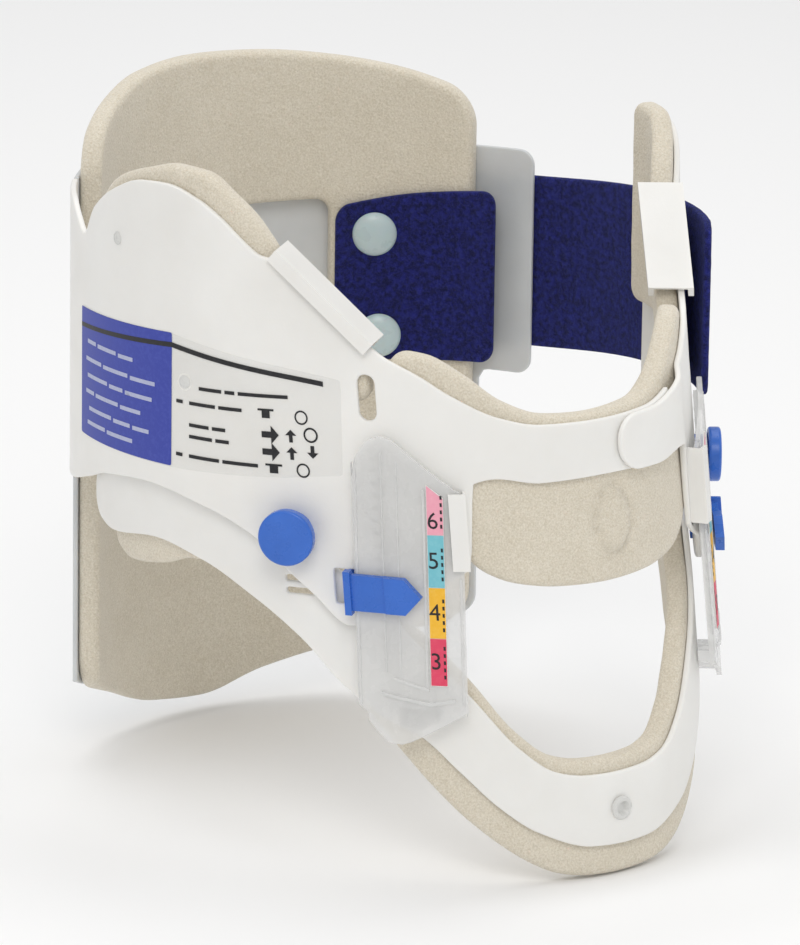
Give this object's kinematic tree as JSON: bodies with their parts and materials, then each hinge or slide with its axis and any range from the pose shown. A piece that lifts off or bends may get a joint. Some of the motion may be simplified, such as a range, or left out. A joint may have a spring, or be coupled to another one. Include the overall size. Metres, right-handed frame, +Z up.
{
  "type": "cervical collar",
  "caption": "Adjustable rigid neck collar with foam lining, chin rest, sliding sternum piece with latches and safety locks, rear panel and hook and loop strap.",
  "frame": {"origin": "on the neck axis, level with the lower corners of the rear panel", "axes": "+Z up along the neck axis, -Y towards the wearer's front, -X towards the wearer's right"},
  "size_m": [0.1562, 0.1701, 0.1704],
  "materials": {
    "shell_plastic": "satin",
    "rear_plastic": "satin translucent",
    "pad_foam": "matte closed-cell foam",
    "pin_plastic": "gloss",
    "clip_plastic": "satin",
    "rack_clear": "translucent",
    "scale_print": "printed colour bands",
    "blue_plastic": "gloss",
    "strap_loop": "brushed loop pile",
    "hook_pile": "hook pile",
    "rivet_plastic": "gloss"
  },
  "bodies": {
    "front": {"right_shell": "shell_plastic", "left_shell": "shell_plastic", "chin_pad": "pad_foam", "right_ear_pad": "pad_foam", "left_ear_pad": "pad_foam", "foam_pins": "pin_plastic", "right_edge_clip": "clip_plastic", "left_edge_clip": "clip_plastic", "right_plate_guide": "shell_plastic", "left_plate_guide": "shell_plastic", "hook_patch": "hook_pile"},
    "sternum": {"sternum_band": "shell_plastic", "sternum_pad": "pad_foam", "sternum_pin": "pin_plastic", "right_rack_plate": "rack_clear", "left_rack_plate": "rack_clear", "right_size_scale": "scale_print", "left_size_scale": "scale_print"},
    "right_latch": {"right_latch": "blue_plastic"},
    "left_latch": {"left_latch": "blue_plastic"},
    "right_lock": {"right_lock_button": "blue_plastic"},
    "left_lock": {"left_lock_button": "blue_plastic"},
    "rear": {"rear_shell": "rear_plastic", "rear_pad": "pad_foam", "strap_anchor": "strap_loop", "strap_inner_tab": "strap_loop", "strap_rivets": "rivet_plastic"},
    "strap": {"strap_tail": "strap_loop"}
  },
  "joints": [
    {"name": "sternum_height", "type": "slide", "parent": "front", "child": "sternum", "axis": [0, 0.1386, 0.9903], "range_m": [-0.021, 0.015]},
    {"name": "right_latch_pull", "type": "slide", "parent": "front", "child": "right_latch", "axis": [-0.6018, 0.7986, 0], "range_m": [0, 0.003]},
    {"name": "left_latch_pull", "type": "slide", "parent": "front", "child": "left_latch", "axis": [0.6018, 0.7986, 0], "range_m": [0, 0.003]},
    {"name": "right_lock_push", "type": "slide", "parent": "front", "child": "right_lock", "axis": [-0.8049, -0.5934, 0], "range_m": [-0.0028, 0]},
    {"name": "left_lock_push", "type": "slide", "parent": "front", "child": "left_lock", "axis": [0.8049, -0.5934, 0], "range_m": [-0.0028, 0]},
    {"name": "rear_open", "type": "hinge", "parent": "front", "child": "rear", "pos_m": [-0.05674, 0.05161, 0], "axis": [0, 0, 1], "range_deg": [0, 60]},
    {"name": "strap_open", "type": "hinge", "parent": "rear", "child": "strap", "pos_m": [0.07367, 0.02825, 0], "axis": [0, 0, 1], "range_deg": [0, 70]}
  ]
}
